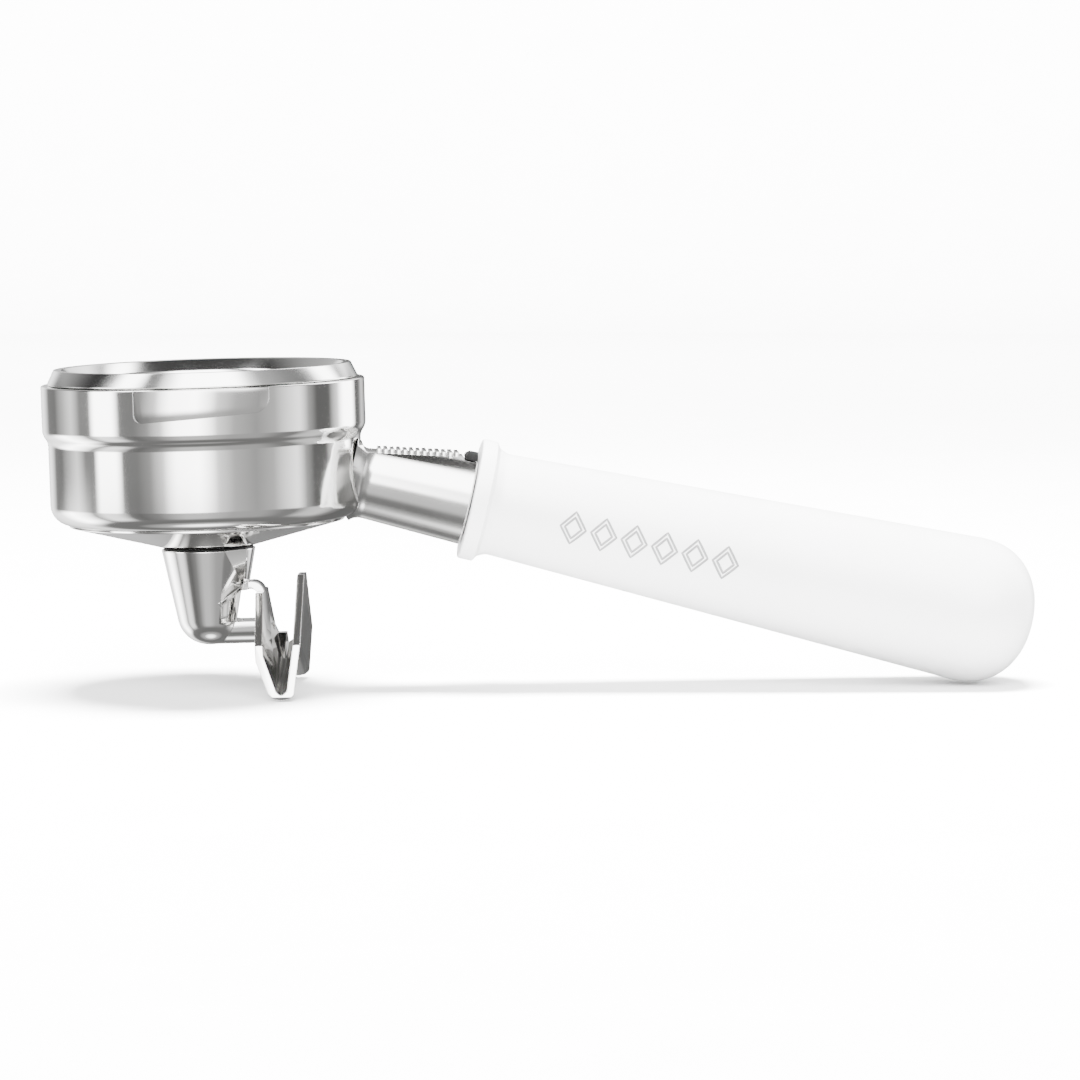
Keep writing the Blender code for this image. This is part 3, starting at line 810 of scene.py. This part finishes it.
def grip_radius(s):
    """The radius of the handle at a distance along its axis."""
    return GRIP_START_R + GRIP_TAPER * (s - GRIP_START)


def cut_mark(grip, index):
    """Cuts one lozenge in a double line into the handle's surface."""
    middle = MARK_FIRST + index * MARK_STEP
    for share in (1.0, 0.66):
        curve = bpy.data.curves.new("mark", "CURVE")
        curve.dimensions = "3D"
        curve.bevel_depth = GROOVE_R * MM
        curve.bevel_resolution = 2
        spline = curve.splines.new("POLY")
        corners = [(0.5, 0), (0, 0.5), (-0.5, 0), (0, -0.5)]
        path = []
        for corner in range(4):
            start = Vector(corners[corner])
            end = Vector(corners[(corner + 1) % 4])
            path += [start.lerp(end, part / 8) for part in range(8)]
        spline.points.add(len(path) - 1)
        for point, spot in zip(spline.points, path):
            s = middle + spot.x * MARK_WIDTH * share
            radius = grip_radius(s) - 0.02
            angle = MARK_ANGLE + spot.y * MARK_HEIGHT * share / radius
            x, y = -radius * math.sin(angle), -radius * math.cos(angle)
            point.co = (x * MM, y * MM, s * MM, 1)
        spline.use_cyclic_u = True
        groove = evaluated(new_object("groove", curve))
        grip = combine(grip, groove, "DIFFERENCE")
    return grip


def make_grip(material, painted_shade_material):
    """The handle with its collar, its marks with painted shade in their grooves, and the bore for the insert.
    """
    end = [
        (0, GRIP_END),
        (3.4, GRIP_END - 0.15),
        (6.6, GRIP_END - 0.8),
        (9.2, GRIP_END - 1.9),
        (11.4, GRIP_END - 3.3),
        (13.4, GRIP_END - 5.2),
        (14.9, GRIP_END - 7.4),
        (15.9, GRIP_END - 9.8),
        (16.4, GRIP_END - 12.2),
        (grip_radius(178.0), 178.0),
    ]
    corners = [
        (grip_radius(177.0), 177.0),
        (GRIP_START_R - 0.15, 67.4, 3.2),
        (12.5, COLLAR_END + 0.9, 0.8),
        (COLLAR_R, COLLAR_END + 0.1, 0.35),
        (COLLAR_R, COLLAR_START, 0.55),
        (INSERT_R, COLLAR_START, 0.2),
        (INSERT_R, INSERT_END),
        (0, INSERT_END + 1),
    ]
    grip = turned("grip_body", smoothed(end) + rounded(corners, 14), steps=192)
    for index in range(MARK_COUNT):
        grip = cut_mark(grip, index)
    grip.name = "grip"
    finish_piece(grip, HANDLE, material, "handle", ["handle_grip"], sharp=40)
    # The second material is a dark grey: painted shade in the marks' grooves.
    grip.data.materials.append(painted_shade_material)
    paint_shade_in_grooves(grip)


def paint_shade_in_grooves(grip):
    """Paints shade into the marks' grooves: their faces get the grip's second material, a dark grey that
    stands in for the shade in them.
    """
    points = [point.co / MM for point in grip.data.vertices]
    depths = [grip_radius(point.z) - math.hypot(point.x, point.y) for point in points]
    for face in grip.data.polygons:
        inside = MARK_FIRST - MARK_STEP < face.center.z / MM < MARK_FIRST + MARK_COUNT * MARK_STEP
        deepest = max(depths[index] for index in face.vertices)
        if inside and GROOVE_LEAST < deepest < GROOVE_MOST:
            face.material_index = 1


# ---------------------------------------------------------------- studio


# The set's upright panels by direction: degrees from the camera's side, positive towards the handle, and
# brightness in stops above middle grey. There are three tiers of them: at the object's height, below it and
# above it.
MIDDLE_PANELS = [
    (-180, 1.6),
    (-168, 3.8),
    (-158, 4.2),
    (-143, 0.8),
    (-130, 0.6),
    (-118, 2.4),
    (-108, 3.4),
    (-98, 1.2),
    (-88, 1.2),
    (-83, 6.0),
    (-68, 6.0),
    (-62, 0.8),
    (-50, 0.8),
    (-40, 1.6),
    (-30, 3.4),
    (-20, 5.8),
    (-4, 6.0),
    (10, 3.4),
    (22, 2.2),
    (38, 1.6),
    (52, 2.2),
    (72, 4.0),
    (80, 1.8),
    (88, 0.0),
    (101, 0.0),
    (111, 3.4),
    (119, 6.0),
    (131, 6.0),
    (138, -0.4),
    (146, 0.6),
    (154, 3.0),
    (166, 0.2),
]

LOW_PANELS = [
    (-180, 1.2),
    (-165, 3.6),
    (-140, 4.4),
    (-120, 6.0),
    (-108, 5.4),
    (-92, 2.0),
    (-80, 4.0),
    (-70, 3.8),
    (-58, 0.6),
    (-50, 0.2),
    (-35, 1.0),
    (-15, 2.6),
    (0, 2.6),
    (20, 1.8),
    (45, 1.6),
    (62, 0.8),
    (72, 0.8),
    (85, 2.6),
    (102, 2.8),
    (120, 1.0),
    (132, 0.0),
    (165, 0.0),
    (180, 1.2),
]

HIGH_PANELS = [
    (-180, 2.6),
    (-130, 1.6),
    (-112, 0.2),
    (-100, -2.0),
    (-90, -2.2),
    (-80, 1.8),
    (-70, 6.2),
    (-60, 6.2),
    (-50, 0.4),
    (-40, 1.8),
    (-30, 4.8),
    (-20, 6.2),
    (28, 6.2),
    (40, 4.0),
    (50, 2.2),
    (75, 1.2),
    (90, 0.8),
    (100, 2.6),
    (110, 6.2),
    (120, 6.2),
    (130, 0.6),
    (142, 4.4),
    (160, 3.8),
    (180, 2.6),
]

# Brightness near straight down, at -1, and near straight up, at 1, in the same stops.
POLES = [
    (-1.0, 5.0),
    (-0.975, 2.2),
    (-0.9, 0.4),
    (-0.7, 0.6),
    (0.86, 0.6),
    (0.93, -1.0),
    (1.0, -1.8),
]

# Heights between which one tier gives way to the next.
TO_LOW = (-0.12, -0.26)
TO_HIGH = (0.14, 0.30)
TO_FOOT = (-0.60, -0.78)
TO_TOP = (0.84, 0.92)
MIDDLE_GREY = 0.18


def ramp_of(tree, source, stops, reach, unit=1.0):
    """A brightness that follows the source through the stops, which run from minus the reach to the reach.

    The unit is the size in the source of one unit of the stops' places.
    """
    spread = tree.nodes.new("ShaderNodeMapRange")
    spread.inputs["From Min"].default_value = -reach * unit
    spread.inputs["From Max"].default_value = reach * unit
    tree.links.new(source, spread.inputs["Value"])
    ramp = tree.nodes.new("ShaderNodeValToRGB")
    elements = ramp.color_ramp.elements
    while len(elements) < len(stops):
        elements.new(0.5)
    for element, (place, level) in zip(elements, stops):
        element.position = (place + reach) / (2 * reach)
        light = MIDDLE_GREY * 2**level
        element.color = (light, light, light, 1)
    tree.links.new(spread.outputs["Result"], ramp.inputs["Fac"])
    return ramp.outputs["Color"]


def smooth_step(tree, source, start, end):
    """A share that goes smoothly from 0 to 1 as the source goes from start to end."""
    node = tree.nodes.new("ShaderNodeMapRange")
    node.interpolation_type = "SMOOTHSTEP"
    node.inputs["From Min"].default_value = start
    node.inputs["From Max"].default_value = end
    tree.links.new(source, node.inputs["Value"])
    return node.outputs["Result"]


def studio_world():
    """Soft studio light: pale all round, with dark and bright upright panels that the steel mirrors."""
    world = bpy.data.worlds.new("studio")
    bpy.context.scene.world = world
    world.use_nodes = True
    tree = world.node_tree
    back = tree.nodes["Background"]
    space = tree.nodes.new("ShaderNodeTexCoord")
    split = tree.nodes.new("ShaderNodeSeparateXYZ")
    tree.links.new(space.outputs["Generated"], split.inputs["Vector"])
    front = tree.nodes.new("ShaderNodeMath")
    front.operation = "MULTIPLY"
    front.inputs[1].default_value = -1.0
    tree.links.new(split.outputs["Y"], front.inputs[0])
    around = tree.nodes.new("ShaderNodeMath")
    around.operation = "ARCTAN2"
    tree.links.new(split.outputs["X"], around.inputs[0])
    tree.links.new(front.outputs["Value"], around.inputs[1])
    height = split.outputs["Z"]
    direction = around.outputs["Value"]
    degree = math.radians(1)
    light = ramp_of(tree, direction, MIDDLE_PANELS, 180, degree)
    poles = ramp_of(tree, height, POLES, 1)
    tiers = [
        (TO_LOW, ramp_of(tree, direction, LOW_PANELS, 180, degree)),
        (TO_HIGH, ramp_of(tree, direction, HIGH_PANELS, 180, degree)),
        (TO_FOOT, poles),
        (TO_TOP, poles),
    ]
    for (start, end), tier in tiers:
        blend = tree.nodes.new("ShaderNodeMix")
        blend.data_type = "RGBA"
        tree.links.new(smooth_step(tree, height, start, end), blend.inputs["Factor"])
        tree.links.new(light, blend.inputs["A"])
        tree.links.new(tier, blend.inputs["B"])
        light = blend.outputs["Result"]
    tree.links.new(light, back.inputs["Color"])
    back.inputs["Strength"].default_value = 1.0


def stage_piece(name, profile, material):
    """A round piece of the set, from a profile in metres."""
    mesh = bpy.data.meshes.new(name)
    edges = [(index, index + 1) for index in range(len(profile) - 1)]
    mesh.from_pydata([(x, 0, z) for x, z in profile], edges, [])
    thing = new_object(name, mesh)
    screw = thing.modifiers.new("spin", "SCREW")
    screw.steps = 96
    screw.render_steps = 96
    screw.use_merge_vertices = True
    screw.merge_threshold = MM
    thing = evaluated(thing)
    thing.data.shade_smooth()
    thing.data.materials.clear()
    thing.data.materials.append(material)
    return thing


def make_set(material):
    """A pale floor, and a pale wall far round it that only closes the view and blocks no light."""
    floor = stage_piece("floor", [(FLOOR_R, FLOOR_LEVEL), (0.0, FLOOR_LEVEL)], material)
    floor.visible_glossy = False
    middle = FLOOR_LEVEL + COVE_R
    turns = [math.radians(angle) for angle in range(90, -1, -6)]
    cove = [(FLOOR_R + COVE_R * math.sin(turn), middle - COVE_R * math.cos(turn)) for turn in turns]
    wall = stage_piece("backdrop", [(FLOOR_R + COVE_R, WALL_TOP), *cove], material)
    wall.visible_glossy = False
    wall.visible_diffuse = False
    wall.visible_shadow = False


def add_softbox(name, place, aim, size, power):
    """A soft light for the matt surfaces; the steel mirrors only the panels."""
    light = bpy.data.lights.new(name, "AREA")
    light.shape = "RECTANGLE"
    light.size, light.size_y = size
    light.energy = power
    lamp = new_object(name, light)
    lamp.location = place
    lamp.rotation_euler = (Vector(aim) - Vector(place)).to_track_quat("-Z", "Y").to_euler()
    lamp.visible_glossy = False
    return lamp


def make_studio(material):
    """The light that the steel mirrors, the floor, and the lamps that light the matt surfaces."""
    studio_world()
    make_set(material)
    add_softbox("top_light", (0.0, 0.1, 1.5), (0, 0, 0), (0.6, 0.4), 400.0)
    add_softbox("wall_light", (0.0, 1.5, 1.3), (0, 2.6, 0.7), (3.0, 1.0), 320.0)
    add_softbox("front_light", (-0.3, -1.3, 1.1), (0, 0, 0), (0.8, 0.8), 22.0)


def set_camera():
    """One metre away, a little above, with a long lens."""
    camera = bpy.data.cameras.new("camera")
    camera.sensor_width = SENSOR
    camera.lens = CAMERA_LENS
    camera.clip_start = 0.01
    view = new_object("camera", camera)
    view.location = Vector(CAMERA_PLACE) * MM
    view.rotation_euler = (math.radians(90 - CAMERA_DOWN), 0, math.radians(CAMERA_TURN))
    bpy.context.scene.camera = view


# ---------------------------------------------------------------- assembly


def grey(level):
    """A colour with the same level in all three channels."""
    return (level, level, level)


# Each has its name, its colour and second tone, and its least and most roughness.
mirror = metal("mirror_steel", (0.72, 0.715, 0.70), (0.78, 0.775, 0.765), 0.055, 0.10, turning=0.05)
cast = metal("cast_polished_steel", (0.68, 0.675, 0.665), (0.74, 0.735, 0.725), 0.06, 0.12, edge=0.2)
satin = metal("satin_neck_steel", (0.72, 0.715, 0.70), (0.78, 0.775, 0.765), 0.14, 0.22, turning=0.1)
sheet = metal("pressed_steel", (0.68, 0.68, 0.67), (0.75, 0.75, 0.745), 0.10, 0.18, turning=0.08)
drawn = metal("drawn_steel", (0.42, 0.42, 0.43), grey(0.52), 0.25, 0.38, grain=0.15)
yellow = metal("turned_brass", (0.70, 0.51, 0.24), (0.78, 0.60, 0.33), 0.22, 0.34, turning=0.2)
rubber = moulded("black_rubber_skin", grey(0.003), grey(0.006), 0.5, 0.68, texture=0.4, gloss=0.15)
black = moulded("black_plastic_skin", grey(0.0015), grey(0.003), 0.45, 0.6, texture=0.3, gloss=0.1)
white = moulded("white_plastic_skin", grey(0.50), grey(0.53), 0.30, 0.42, texture=0.1, coat=0.1)
# The groove material's dark grey is painted shade in the handle's grooves, not a colour of the plastic.
line = moulded("white_plastic_groove_painted_shade", grey(0.15), grey(0.18), 0.45, 0.6, texture=0.1)
paper = moulded("studio_floor", grey(0.86), grey(0.88), 0.7, 0.8, texture=0.05, scale=60)

make_body(mirror)
make_basket(sheet)
make_base(mirror)
make_spout_ring(rubber)
make_spout(cast)
make_neck(satin)
make_block(black)
make_stud(drawn)
make_grip(white, line)

kept = {"basket_spring": drawn, "base_seal": rubber, "handle_washer": rubber, "handle_insert": yellow}
for node, material in kept.items():
    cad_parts[node].data.materials.clear()
    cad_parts[node].data.materials.append(material)

make_studio(paper)
set_camera()
